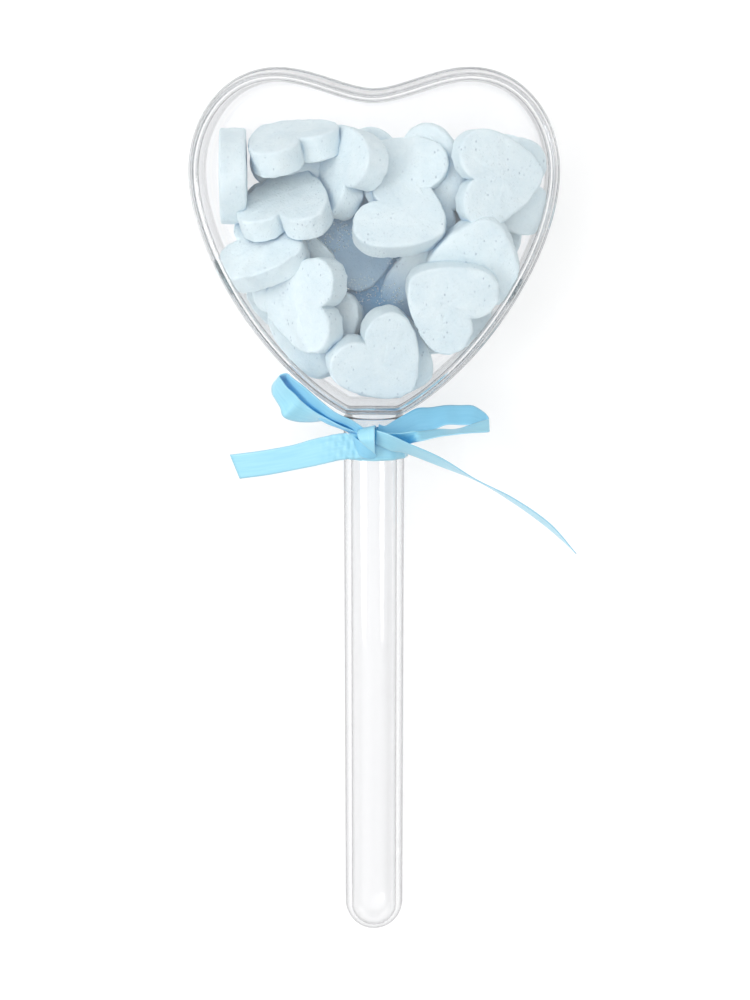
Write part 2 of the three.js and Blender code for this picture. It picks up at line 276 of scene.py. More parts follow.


# Clouds, grains, specks and pits of several sizes. Faces that look up, low in the middle of the heap, get a
# painted deep blue shade by the share given, and the crevices between candies get a painted blue shade.
def pressedSugar(name, deepPaintedShadeShare):
    look = sugarLook
    finish = newFinish(name)
    place = finish.objectPlace()
    cloud = finish.noise(place, look["cloudScale"], 3.0, 0.6)
    grain = finish.noise(place, look["grainScale"], 2.0, 0.6)
    stretched = finish.vector("MULTIPLY", place, look["speckLength"])
    patch = finish.noise(place, look["speckPatchScale"], 1.0)
    speck = finish.span(finish.cells(stretched, look["speckScale"]), 0.09, 0.18, 1.0, 0.0)
    speck = speck * finish.span(patch, 0.44, 0.58)
    pits = finish.span(finish.cells(place, look["pitScale"]), 0.08, 0.3)
    body = finish.blend(finish.span(cloud, 0.3, 0.72), look["pale"], look["shaded"])
    body = finish.blend(finish.span(grain, 0.35, 0.75, 0.0, look["grainShare"]), body, look["grain"])
    # Painted shade: faces that look up, low in the middle of the heap, are painted a deeper blue.
    height = finish.part(place, 2)
    up = finish.part(finish.node("ShaderNodeNewGeometry", out=1), 2)
    away = finish.vector("DISTANCE", place, look["deepShadeCentre"], 1)
    deepPaintedShade = finish.span(height, *look["deepShadeHeights"], deepPaintedShadeShare, 0.0) * finish.span(up, 0.0, 0.4)
    deepPaintedShade = deepPaintedShade * finish.span(away, *look["deepShadeReach"], 1.0, 0.0)
    body = finish.blend(deepPaintedShade, body, look["deepPaintedShade"])
    # Painted shade: places with little room around them, the crevices between candies, are painted blue.
    openness = finish.openness(look["creviceShadeReach"], ownMeshOnly=True)
    body = finish.blend(finish.span(openness, 0.05, 0.45), look["creviceShade"], body)
    relief = grain * 0.6 + pits * 0.5 + cloud * 0.8
    return finish.shade({
        "Base Color": finish.blend(speck * look["speckShare"], body, look["speck"]),
        "Roughness": finish.span(grain, 0.3, 0.7, 0.75, 0.92),
        "Specular IOR Level": 0.3,
        "Normal": finish.bump(relief, look["reliefStrength"], look["reliefHeight"]),
    })


satinLook = {
    "dull": (paint(136, 203, 233), paint(143, 208, 237)),
    "shinySidePaintedSheen": (paint(152, 212, 234), paint(160, 218, 237)),
    "selvageAndHighlight": paint(190, 232, 246),
    "selvageAndHighlightShare": 0.45,
    "creviceShade": paint(78, 184, 232),
    "creviceShadeReach": 0.005,
    "threads": 9.0,
    "threadHeight": 0.00005,
    "threadStrength": 0.12,
    "streaks": (0.7, 9.0, 1.0),  # along and across the ribbon
    "slubScale": 3.0,
    "dullRoughness": 0.14,  # more than the shiny side has
    "sheen": 0.25,
}


# The map's x counts ribbon widths along the ribbon. Its y runs across from 0 to 1 on the shiny side and from
# 1 to 2 on the dull side, so folded back at the half it is the distance from the nearer edge.
def satin():
    look = satinLook
    finish = newFinish("satin ribbon")
    place = finish.node("ShaderNodeUVMap", {"uv_map": "ribbon"})
    across = finish.part(place, 1)
    shiny = across < 1.0
    weave = {"Vector": place, "Scale": look["threads"], "Distortion": 0.6, "Detail": 1.0, "Detail Scale": 2.0}
    threads = finish.node("ShaderNodeTexWave", {"bands_direction": "Y", "wave_profile": "SIN"}, weave, 1)
    drawn = finish.vector("MULTIPLY", place, look["streaks"])
    streaks = finish.span(finish.noise(drawn, 1.0, 3.0), 0.35, 0.65)
    slub = finish.noise(place, look["slubScale"], 3.0)
    edge = finish.math("PINGPONG", across, 0.5)
    # Painted sheen: the shiny side is given a lighter colour than the dull side.
    colour = finish.blend(shiny, finish.blend(streaks, *look["dull"]), finish.blend(streaks, *look["shinySidePaintedSheen"]))
    # The edges are lighter: the woven selvage, with a painted highlight where the edge catches light.
    colour = finish.blend(finish.span(edge, 0.0, 0.05, look["selvageAndHighlightShare"], 0.0), colour, look["selvageAndHighlight"])
    # Painted shade: the ribbon's folds and crevices are painted a deeper blue.
    openness = finish.openness(look["creviceShadeReach"])
    return finish.shade({
        "Base Color": finish.blend(finish.span(openness, 0.1, 0.6), look["creviceShade"], colour),
        "Roughness": finish.span(slub, 0.3, 0.7, 0.3, 0.38) + (1 - shiny) * look["dullRoughness"],
        "Sheen Weight": look["sheen"],
        "Sheen Roughness": 0.4,
        "Normal": finish.bump(threads, look["threadStrength"], look["threadHeight"]),
    })


# The handle's wall is seen edge on over all its length, so its plastic is denser and the painted shade on its
# edges darker.
plastic = clearPlastic("clear plastic", density=20.0, paintedEdgeShade=(0.4, 0.4, 0.42, 1.0))
thickPlastic = clearPlastic("thick clear plastic", density=36.0, paintedEdgeShade=(0.05, 0.05, 0.06, 1.0))
sugar = pressedSugar("pressed sugar", deepPaintedShadeShare=0.95)
sugarGrain = pressedSugar("sugar grains", deepPaintedShadeShare=0.0)
ribbonSatin = satin()
print("materials made")


# Mesh helpers

# Numbers the four corners of every cell of a grid of points that is stored row by row.
def gridFaces(rows, columns, closedRows=False, closedColumns=False):
    row, column = np.meshgrid(
        np.arange(rows if closedRows else rows - 1),
        np.arange(columns if closedColumns else columns - 1),
        indexing="ij",
    )
    nextRow, nextColumn = (row + 1) % rows, (column + 1) % columns
    corners = [(row, column), (row, nextColumn), (nextRow, nextColumn), (nextRow, column)]
    return np.stack([r * columns + c for r, c in corners], -1).reshape(-1, 4)


# Joins a row of a closed grid to one point, as triangles.
def fanFaces(start, count, tip, turned):
    here = np.arange(count)
    beside = (here + 1) % count
    fan = np.stack([np.full(count, tip), start + here, start + beside], -1)
    return fan[:, ::-1] if turned else fan


# Closes a stack of rings with one point at each end, and returns its points, quads and triangles.
def closedForm(rings, firstTip, lastTip):
    rows, around = rings.shape[:2]
    points = np.vstack([rings.reshape(-1, 3), [firstTip, lastTip]])
    fans = np.vstack([
        fanFaces(0, around, len(points) - 2, True),
        fanFaces((rows - 1) * around, around, len(points) - 1, False),
    ])
    return points, gridFaces(rows, around, closedColumns=True), fans


# Turns a section about the handle's axis: at each angle, x and z are the radius times its cosine and sine.
def aroundHandle(radius, along, turn):
    return np.stack([
        radius * np.cos(turn),
        np.broadcast_to(along, (len(along), len(turn))),
        middle + radius * np.sin(turn),
    ], -1)


# Six times the volume inside: the sum over the triangles of corner . (corner x corner).
def insideVolume(points, faces):
    total = 0.0
    for second in range(1, faces.shape[1] - 1):
        a, b, c = (points[faces[:, k]] for k in (0, second, second + 1))
        total += float(np.einsum("ij,ij->", a, np.cross(b, c)))
    return total


# Makes one smooth mesh of groups of quads and triangles, turned outwards, that rides on the body.
def addPiece(name, points, groups, material, nodes, uv=None):
    points = np.asarray(points, float).reshape(-1, 3)
    volume = sum(insideVolume(points, group) for group in groups)
    if volume < 0:
        groups = [group[:, ::-1] for group in groups]
    faces = [face for group in groups for face in group.tolist()]
    mesh = bpy.data.meshes.new(name)
    mesh.from_pydata((points * millimetre).tolist(), [], faces)
    mesh.polygons.foreach_set("use_smooth", np.ones(len(faces), bool))
    if uv is not None:
        corners = np.concatenate([group.reshape(-1) for group in groups])
        layer = mesh.uv_layers.new(name="ribbon")
        layer.data.foreach_set("uv", uv[corners].astype(np.float32).reshape(-1))
    mesh.materials.append(material)
    mesh.update()
    piece = bpy.data.objects.new(name, mesh)
    bpy.context.scene.collection.objects.link(piece)
    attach(piece, "root")
    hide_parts(*nodes)
    print(name, len(faces), "faces")
    return piece


# A cubic curve between two points with a handle for each: the weighted mean of the four by (1 - t) and t.
def bezier(start, startHandle, endHandle, end, steps):
    t = np.linspace(0, 1, steps + 1)[:, None]
    a, b, c, d = (np.array(p, float) for p in (start, startHandle, endHandle, end))
    return (1 - t) ** 3 * a + 3 * (1 - t) ** 2 * t * b + 3 * (1 - t) * t ** 2 * c + t ** 3 * d


# Closes a right half of cubic curves that runs clockwise from the notch to the bottom with its mirror image,
# whose points have the opposite x, and returns the whole anticlockwise.
def mirrored(curves, steps):
    parts = [bezier(*curve, count) for curve, count in zip(curves, steps)]
    right = np.vstack([part[:-1] for part in parts] + [parts[-1][-1:]])
    left = right[right[:, 0] > 0.001][::-1] * [-1, 1]
    return np.vstack([right, left])[::-1]


# Moves every edge of an anticlockwise outline inwards by one distance: each corner goes along the sum
# of its two edges' inward directions, divided by one plus their product.
def inset(outline, distance):
    into = outline - np.roll(outline, 1, 0)
    out = np.roll(outline, -1, 0) - outline
    into = into / np.linalg.norm(into, axis=1, keepdims=True)
    out = out / np.linalg.norm(out, axis=1, keepdims=True)
    intoNormal = np.stack([-into[:, 1], into[:, 0]], 1)
    outNormal = np.stack([-out[:, 1], out[:, 0]], 1)
    spread = 1 + (intoNormal * outNormal).sum(1, keepdims=True)
    return outline + distance * (intoNormal + outNormal) / spread


# Gives way at each inner corner of a path to a parabola that starts and ends one reach from the corner, or at
# most two fifths of the way to the next.
def softened(path, reach, steps=3):
    path = np.asarray(path, float)
    rounded = [path[0]]
    for before, corner, after in zip(path[:-2], path[1:-1], path[2:]):
        toBefore, toAfter = before - corner, after - corner
        longBefore, longAfter = np.linalg.norm(toBefore), np.linalg.norm(toAfter)
        cut = min(reach, 0.4 * longBefore, 0.4 * longAfter)
        start = corner + toBefore / longBefore * cut
        end = corner + toAfter / longAfter * cut
        for t in np.linspace(0, 1, steps + 1):
            rounded.append((1 - t) ** 2 * start + 2 * (1 - t) * t * corner + t ** 2 * end)
    rounded.append(path[-1])
    return np.array(rounded)


# Heart box

heartBox = {
    "halfWidth": 48.0,
    "lobeAt": (24.5, 26.6),
    "lobeInnerReach": 8.9,
    "lobeOuterReach": 15.0,
    "dipHeight": 21.3,
    "dipReach": 6.8,
    "sideReachUp": 13.0,
    "sideReachDown": 20.3,
    "neckHalfWidth": 7.4,
    "neckHeight": -63.1,
    "flankReach": (22.4, 13.1),
    "neckCorner": 1.6,
    "lip": 1.0,
    "wall": 1.4,
    "wallSetBack": 0.5,
    "wallDraft": 1.2,
    "shoulder": 2.5,
    "tongue": 1.2,
    "tongueSetBack": 0.65,
    "gap": 0.3,
    "edgeReach": 0.22,  # how far the rim's edges are softened
    "centre": (0.0, -5.0),
    "outlineSteps": (26, 34, 44, 5, 3),
    "shoulderSteps": 8,
    "faceRings": (0.985, 0.93, 0.75, 0.5, 0.25),
}


# The right half is five cubic curves: from the dip to the top of the lobe, to the side, down the flank, round
# the neck's corner and along the foot. The corner's handles lie two thirds of the way to its point.
def heartOutline():
    s = heartBox
    lobeX, lobeY = s["lobeAt"]
    lobe = (lobeX, lobeY)
    side = (s["halfWidth"], 0)
    neck = np.array([s["neckHalfWidth"], s["neckHeight"]])
    reach = np.array(s["flankReach"])
    start = neck + reach * s["neckCorner"] / np.linalg.norm(reach)
    end = neck - [s["neckCorner"], 0]
    curves = [
        ((0, s["dipHeight"]), (s["dipReach"], s["dipHeight"]), (lobeX - s["lobeInnerReach"], lobeY), lobe),
        (lobe, (lobeX + s["lobeOuterReach"], lobeY), (s["halfWidth"], s["sideReachUp"]), side),
        (side, (s["halfWidth"], -s["sideReachDown"]), neck + reach, start),
        (start, start + (neck - start) * 2 / 3, end + (neck - end) * 2 / 3, end),
        (end, end * [2 / 3, 1], end * [1 / 3, 1], (0, neck[1])),
    ]
    return mirrored(curves, s["outlineSteps"])


boxOutline = heartOutline()


# One tray's section as steps of inset and height, from its outer face over the shoulder, wall, lip and seam
# to the inside of its face. The shoulders are quarter circles about one centre.
def traySection(seam):
    s = heartBox
    turn = np.linspace(0, math.pi / 2, s["shoulderSteps"] + 1)
    faceInset = s["wallSetBack"] + s["wallDraft"] + s["shoulder"]
    outer = np.stack([faceInset - s["shoulder"] * np.sin(turn),
                      boxDepth - s["shoulder"] * (1 - np.cos(turn))], 1)
    seamHeight = middle + s["gap"] / 2
    lipTop = seamHeight + s["lip"]
    rim = [outer[-1], (s["wallSetBack"], lipTop), (0, lipTop), (0, seamHeight), *seam]
    innerFoot = s["wallSetBack"] + s["wall"]
    innerTurn = s["shoulder"] - s["wall"]
    inner = np.stack([innerFoot + s["wallDraft"] + innerTurn * (1 - np.cos(turn)),
                      boxDepth - s["wall"] - innerTurn * (1 - np.sin(turn))], 1)
    return np.vstack([outer[:-1], softened([*rim, inner[0]], s["edgeReach"]), inner[1:]])


# Carries a section of inset and height round the heart, and closes both faces with rings that are drawn
# towards their centre by shares.
def addTray(name, section, flipped, node):
    centre = np.array(heartBox["centre"])
    shares = heartBox["faceRings"]
    rings = [inset(boxOutline, distance) for distance in section[:, 0]]
    outerFace = [centre + (rings[0] - centre) * share for share in shares[::-1]]
    innerFace = [centre + (rings[-1] - centre) * share for share in shares]
    heights = np.concatenate([section[[0] * len(shares), 1], section[:, 1], section[[-1] * len(shares), 1]])
    if flipped:
        heights = boxDepth - heights
    flat = np.array(outerFace + rings + innerFace)
    level = np.broadcast_to(heights[:, None, None], (*flat.shape[:2], 1))
    grid = np.concatenate([flat, level], 2)
    points, quads, fans = closedForm(grid, [*centre, heights[0]], [*centre, heights[-1]])
    addPiece(name, points, [quads, fans], plastic, [node])


# The front tray's tongue goes down into the back tray's rebate, which stands off from it by the gap.
def addHeartBox():
    s = heartBox
    seamHeight = middle + s["gap"] / 2
    innerWall = s["wallSetBack"] + s["wall"]
    tongueSide = s["wallSetBack"] + s["tongueSetBack"]
    tongueEnd = seamHeight - s["tongue"]
    rebateSide = tongueSide - s["gap"]
    rebateEnd = seamHeight + s["tongue"] + s["gap"]
    front = [(tongueSide, seamHeight), (tongueSide, tongueEnd), (innerWall, tongueEnd)]
    back = [(rebateSide, seamHeight), (rebateSide, rebateEnd), (innerWall, rebateEnd)]
    addTray("box_front", traySection(front), False, "heart_shell_front")
    addTray("box_back", traySection(back), True, "heart_shell_back")


addHeartBox()


# Handle

handle = {
    "topRadius": 8.05,
    "endRadius": 7.85,
    "bore": 6.1,
    "end": -206.6,
    "floor": 1.2,
    "top": -63.4,
    "edgeReach": 0.25,  # how far the top's edges are softened
    "around": 96,
    "arcSteps": 14,
    "lengthSteps": 23,
}


# A tube whose round end is two quarter circles, inside and outside, each from its radius to the axis. Its
# section runs from the inside of the end over the open top to the outside of the end.
def addHandle():
    s = handle
    arc = np.linspace(0, math.pi / 2, s["arcSteps"] + 1)[:, None]
    outerCentre = s["end"] + s["endRadius"]
    innerCentre = s["end"] + s["floor"] + s["bore"]
    outside = np.hstack([s["endRadius"] * np.cos(arc), outerCentre - s["endRadius"] * np.sin(arc)])
    inside = np.hstack([s["bore"] * np.cos(arc), innerCentre - s["bore"] * np.sin(arc)])
    share = np.linspace(0, 1, s["lengthSteps"] + 1)[:-1, None]
    wallOut = np.array([s["topRadius"], s["top"]]) * (1 - share) + outside[0] * share
    wallIn = np.array([s["bore"], s["top"]]) * (1 - share) + inside[0] * share
    rim = softened([wallIn[1], wallIn[0], wallOut[0], wallOut[1]], s["edgeReach"])
    section = np.vstack([inside[-2::-1], wallIn[:1:-1], rim, wallOut[2:], outside[:-1]])
    turn = np.linspace(0, 2 * math.pi, s["around"], endpoint=False)
    grid = aroundHandle(section[:, :1], section[:, 1:], turn)
    points, quads, fans = closedForm(grid, [0, inside[-1, 1], middle], [0, outside[-1, 1], middle])
    addPiece("handle_tube_clear", points, [quads, fans], thickPlastic, ["handle_tube"])


addHandle()


# Candies

candyShape = {
    "outline": [  # the right half, from the notch over the lobe and down the side to the blunt tip
        ((0, 7.8), (0.7, 9.8), (3, 11.4), (6, 11.4)),
        ((6, 11.4), (9.9, 11.4), (12.5, 8.6), (12.5, 4.9)),
        ((12.5, 4.9), (12.5, -0.6), (4.8, -11.4), (0, -11.4)),
    ],
    "outlineSteps": (11, 14, 23),
    "thickness": 7.0,
    "rounding": 0.75,
    "roundingSteps": 4,
    "sideSteps": 5,
    "dome": 0.25,
    "faceRings": (0.96, 0.86, 0.7, 0.5, 0.3, 0.12),
    "wear": 0.24,
    "wearWaves": [(5.0, 1.0), (2.2, 0.3)],  # wavelengths and shares
    "wearStretch": (1, 1, 2.5),  # the faces wear more than the sides
    "seed": 7,
}

# Where each candy lies: its centre, then in degrees its turn in its own plane, how far its face tilts,
# and the direction it tilts towards.
candyPlaces = [
    (-36.5, -1, 15, -90, 95, 0),
    (-22.5, 7, 13, 220, 70, 100),
    (-22.5, -4, 5.5, 80, 0, 0),
    (-7, 2, 14.5, 215, 55, 165),
    (3, -1.5, 8, -20, 0, 0),
    (6, -1, 14, -120, 15, 120),
    (15, -1.5, 12, 60, 5, 200),
    (32, -1, 18.5, 95, 20, 5),
    (34, -4.5, 12, -80, 15, 335),
    (8, -11.5, 19, 65, 30, 85),
    (11, -11, 11.5, 65, 5, 150),
    (-22, -8, 15, 175, 55, 105),
    (-27.5, -20, 16, 75, 45, 115),
    (-20, -25, 12, 85, 5, 135),
    (-18, -33.5, 18.5, -95, 35, 175),
    (-15, -42.5, 13, 5, 15, 140),
    (-4.5, -20, 8, 5, 5, 90),
    (13, -29, 10, -75, 20, 245),
    (-8.5, -41.5, 5.5, -20, 0, 0),
    (2, -48, 20.5, 40, 20, -50),
    (18.5, -32, 22, -125, 15, 290),
    (27, -21, 19, 165, 20, 270),
    (5, -48.5, 11.5, 65, 0, 0),
    (31.5, -4, 6.5, 30, 0, 0),
    (-25.5, -17, 6.5, 90, 5, 270),
    (28, -19, 6.5, 115, 5, 60),
    (17, -38, 5.5, -45, 0, 0),
    (11.5, -21, 6.5, 200, 5, 90),
    (-20, -34, 7, 20, 5, 200),
    (-9.5, -8, 6.5, 150, 5, 40),
    (2, -33, 6.5, 70, 0, 0),
    (-13, 0, 7.5, -10, 5, 90),
]


# Adds up sine waves of random directions: each is the sine of the place along its direction and a phase.
def ripple(points, wavelength, draw, waves=7):
    directions = draw.normal(size=(waves, 3))
    directions /= np.linalg.norm(directions, axis=1, keepdims=True)
    pace = 2 * math.pi / (wavelength * draw.uniform(0.7, 1.4, size=waves))
    phase = draw.uniform(0, 2 * math.pi, size=waves)
    return np.sin(points @ directions.T * pace + phase).sum(-1) / math.sqrt(waves)


# The turn of a candy: first in its own plane, then about the level axis that its face tilts over, by the
# identity plus the sine of the tilt times the axis's cross matrix plus one less the cosine times its square.
def candyTurn(turn, tilt, lean):
    spin, over, toward = (math.radians(v) for v in (turn, tilt, lean))
    flat = np.array([
        [math.cos(spin), -math.sin(spin), 0],
        [math.sin(spin), math.cos(spin), 0],
        [0, 0, 1],
    ])
    x, y = -math.sin(toward), math.cos(toward)
    cross = np.array([[0, 0, y], [0, 0, -x], [-y, x, 0]])
    return (np.eye(3) + math.sin(over) * cross + (1 - math.cos(over)) * cross @ cross) @ flat


# The rings of a candy about its own centre, from the middle of one face over the rounded edges and the side
# to the other. Each is the outline moved inwards, or on the faces drawn together and lifted by the dome times
# one less the square of its share.
def candyRings():
    s = candyShape
    half = s["thickness"] / 2
    edge = mirrored(s["outline"], s["outlineSteps"])
    turn = np.linspace(0, math.pi / 2, s["roundingSteps"] + 1)
    rim = [(s["rounding"] * (1 - math.sin(a)), half - s["rounding"] * (1 - math.cos(a))) for a in turn]
    sideHeights = np.linspace(half - s["rounding"], s["rounding"] - half, s["sideSteps"] + 1)[1:-1]
    section = rim + [(0.0, z) for z in sideHeights] + [(d, -z) for d, z in rim[::-1]]
    rings = [np.column_stack([inset(edge, d), np.full(len(edge), z)]) for d, z in section]
    face = [rings[0] * [share, share, 1] + [0, 0, s["dome"] * (1 - share ** 2)] for share in s["faceRings"]]
    return np.array(face[::-1] + rings + [ring * [1, 1, -1] for ring in face])


# All candies in one mesh. Each point of a candy moves towards the centre by the absolute sum of two ripples.
def addCandies():
    s = candyShape
    draw = np.random.default_rng(s["seed"])
    tip = s["thickness"] / 2 + s["dome"]
    single, quads, fans = closedForm(candyRings(), [0, 0, tip], [0, 0, -tip])
    stretch = np.array(s["wearStretch"])
    outwards = single / np.linalg.norm(single * stretch, axis=1, keepdims=True) * stretch
    placed = []
    for *centre, turn, tilt, lean in candyPlaces:
        worn = sum(ripple(single, wave, draw) * s["wear"] * share for wave, share in s["wearWaves"])
        shaped = single - outwards * np.abs(worn)[:, None]
        placed.append(shaped @ candyTurn(turn, tilt, lean).T + centre)
    starts = len(single) * np.arange(len(placed))[:, None, None]
    groups = [(faces + starts).reshape(-1, faces.shape[1]) for faces in (quads, fans)]
    return addPiece("candies", np.vstack(placed), groups, sugar, ["candy_heap"])


looseGrains = {
    "patches": [  # the centre of each patch, its reach and how many grains are let fall
        (-10, -16.5, 4.5, 110),
        (-3, -30, 4, 90),
        (4, -32.5, 4, 90),
        (5.5, -21.5, 3, 40),
        (0, -18, 30, 70),
    ],
    "from": 29.0,
    "highest": 16.0,  # a grain that lands above this is left out
    "size": (0.09, 0.24),
    "stretch": (0.6, 1.5),
    "shift": (-0.3, 0.3),
    "lift": 0.3,
    "seed": 11,
}


# Lets grains fall on the candies, spread evenly over round patches: away from the centre by the square root
# of a random share. Each is a double pyramid with its corners moved at random.
def addGrains(candies):
    s = looseGrains
    draw = np.random.default_rng(s["seed"])
    mesh = candies.data
    tree = BVHTree.FromPolygons([v.co for v in mesh.vertices], [f.vertices for f in mesh.polygons])
    corners = np.array([(1, 0, 0), (-1, 0, 0), (0, 1, 0), (0, -1, 0), (0, 0, 1), (0, 0, -1)])
    sides = np.array([(0, 2, 4), (2, 1, 4), (1, 3, 4), (3, 0, 4), (2, 0, 5), (1, 2, 5), (3, 1, 5), (0, 3, 5)])
    points = []
    for x, y, reach, count in s["patches"]:
        turn = draw.uniform(0, 2 * math.pi, count)
        away = reach * np.sqrt(draw.uniform(0, 1, count))
        for a, d in zip(turn, away):
            above = Vector((x + d * math.cos(a), y + d * math.sin(a), s["from"])) * millimetre
            hit, normal = tree.ray_cast(above, Vector((0, 0, -1)))[:2]
            size = draw.uniform(*s["size"])
            moved = draw.uniform(*s["stretch"], corners.shape) * corners
            moved = moved + draw.uniform(*s["shift"], corners.shape)
            if hit is None or hit.z > s["highest"] * millimetre:
                continue
            points.append(moved * size + np.array(hit) / millimetre + np.array(normal) * size * s["lift"])
    faces = sides + len(corners) * np.arange(len(points))[:, None, None]
    addPiece("loose_grains", np.vstack(points), [faces.reshape(-1, 3)], sugarGrain,
             ["candy_heap"])


addGrains(addCandies())


# Ribbon

ribbon = {
    "width": 7.0,
    "thickness": 0.26,
    "perStation": 12,
    "across": 13,
}

band = {
    "top": -68.7,
    "bottom": -74.2,
    "radius": 8.5,
    "creases": 13,
    "creaseHeight": 0.35,
    "across": 8,
    "around": 192,
}

crumple = {
    "height": 0.5,
    "level": 1.2,
    "waves": [  # the pace along the ribbon and across it, the phase and the share
        (1.1, 1.6, 0, 1.0),
        (1.9, -2.2, 1, 0.8),
        (0.6, 4.1, 2, 0.6),
    ],
    "start": 2.5,
    "rise": 4.0,
    "reach": 12.5,
}

# Each strip is a list of stations, each a pair of points on its two edges.
leftLoop = [
    ((-2, -65.5, 26), (-3, -68.5, 24.5)),
    ((-5.5, -63, 27), (-7.5, -66.5, 21.5)),
    ((-9.5, -61, 27.5), (-12.5, -64.5, 22)),
    ((-14, -57.5, 27.5), (-17, -61.5, 22.5)),
    ((-18, -54, 27.5), (-21, -58, 22.5)),
    ((-20.5, -52, 27.5), (-23, -56, 21.5)),
    ((-22, -51, 27), (-24.5, -54, 21)),
    ((-23, -51, 27), (-25.5, -53.5, 21)),
    ((-24, -51.5, 27), (-26.5, -55, 21)),
    ((-23, -53, 27), (-26.5, -57, 21.5)),
    ((-22, -54.5, 27), (-25.5, -58.5, 22)),
    ((-20, -56, 27), (-24.5, -60.5, 22.5)),
    ((-18.5, -58, 26.5), (-23.5, -62.5, 24)),
    ((-17, -59.5, 26), (-20.5, -64, 22)),
    ((-15, -61, 26), (-16.5, -64.5, 20)),
    ((-12.5, -62.5, 25.5), (-13, -64.5, 18.5)),
    ((-9, -64.5, 25), (-9, -66, 18.5)),
    ((-5.5, -66, 24.5), (-5, -67.5, 21.5)),
    ((-2.5, -67, 24), (-2, -69, 23.5)),
]
rightLoop = [
    ((1.5, -64.5, 23.5), (1, -67, 23)),
    ((3, -65, 23), (3.5, -68, 23)),
    ((5, -64, 22), (6, -69, 22.5)),
    ((8, -62.5, 20), (9, -68, 21.5)),
    ((11.5, -61, 18), (12, -67, 20.5)),
    ((15, -61, 16.5), (15.5, -66.5, 20.5)),
    ((19, -60.5, 16), (19, -65, 21)),
    ((22.5, -60.5, 16), (23, -65, 21)),
    ((26, -60.5, 16.5), (25.5, -65, 21.5)),
    ((28, -61.5, 17), (28, -65.5, 22)),
    ((29.5, -62.5, 18), (29.5, -66, 23.5)),
    ((30, -63, 19.5), (30, -66, 25)),
    ((30, -63.5, 21), (30, -66, 26.5)),
    ((28, -64, 22), (28, -66, 27.5)),
    ((25, -65, 22), (25, -66, 28.5)),
    ((21.5, -66, 22), (20.5, -66.5, 28.5)),
    ((17.5, -66, 22), (17, -67, 28.5)),
    ((13, -66.5, 22.5), (13, -68, 28.5)),
    ((10.5, -66, 25.5), (10, -69.5, 23.5)),
    ((7, -66.5, 26), (7.5, -70.5, 22)),
    ((3.5, -66.5, 25.5), (3.5, -70.5, 24)),
]
rightTail = [
    ((1, -65.5, 28), (0.5, -69.5, 25.5)),
    ((3, -66, 28.5), (3, -70.5, 25)),
    ((4.5, -66.5, 29), (5, -71.5, 24)),
    ((9.5, -69, 28), (7.5, -72, 22.5)),
    ((17.5, -73, 25), (16.5, -76, 18.5)),
    ((27, -79.5, 21), (27.5, -81, 14.5)),
    ((37, -85, 18), (37.5, -87.5, 11.5)),
    ((47, -92.5, 14.5), (47, -95, 8)),
    ((54.5, -101.5, 10.5), (54, -101.5, 5.5)),
]
leftTail = [
    ((0, -67.5, 24.5), (0, -72.5, 24.5)),
    ((-4, -67, 24.5), (-3, -73.5, 24)),
    ((-8.5, -66.5, 24.5), (-7, -74, 24)),
    ((-14.5, -68, 24), (-12.5, -75, 24)),
    ((-20.5, -70, 23), (-19, -76.5, 22.5)),
    ((-29.5, -72, 21), (-27.5, -78.5, 20.5)),
    ((-38, -73.5, 18.5), (-35.5, -80, 18)),
]
knotWrap = [
    ((-2.5, -66.5, 23), (1, -65.5, 23)),
    ((-3.5, -65.5, 26), (0.5, -64.5, 27)),
    ((-4, -66.5, 27.5), (0.5, -65.5, 28.5)),
    ((-3.5, -68, 28), (0.5, -67.5, 29)),
    ((-2, -69.5, 27.5), (0.5, -69, 28.5)),
    ((-0.5, -71, 26.5), (0.5, -71, 27)),
    ((0, -72, 25), (0.5, -72, 25.5)),
]
knotUnder = [
    ((-5, -67.5, 26), (-5, -68.5, 25)),
    ((-4, -68, 27), (-4, -71.5, 24.5)),
    ((-2.5, -69, 27.5), (-3, -73, 24.5)),
    ((-0.5, -70.5, 27), (-1.5, -73.5, 24.5)),
    ((1, -72.5, 25), (0, -73.5, 24)),
]


# A smooth curve through points: between two of them the Hermite cubic whose tangents come from the
# neighbours, with each step counted as the square root of its length, and at least as a hundredth.
def throughPoints(points, perStation):
    points = np.asarray(points, float)
    path = np.vstack([2 * points[0] - points[1], points, 2 * points[-1] - points[-2]])
    step = np.maximum(np.sqrt(np.linalg.norm(np.diff(path, axis=0), axis=1)), 0.01)[:, None]
    slope = np.diff(path, axis=0) / step
    wide = (path[2:] - path[:-2]) / (step[1:] + step[:-1])
    tangent = slope[:-1] - wide + slope[1:]
    here, there = path[1:-2], path[2:-1]
    out, into = tangent[:-1] * step[1:-1], tangent[1:] * step[1:-1]
    t = np.linspace(0, 1, perStation, endpoint=False)[None, :, None]
    here, there, out, into = (v[:, None, :] for v in (here, there, out, into))
    curve = ((2 * t ** 3 - 3 * t ** 2 + 1) * here + (t ** 3 - 2 * t ** 2 + t) * out
             + (3 * t ** 2 - 2 * t ** 3) * there + (t ** 3 - t ** 2) * into)
    return np.vstack([curve.reshape(-1, 3), points[-1:]])


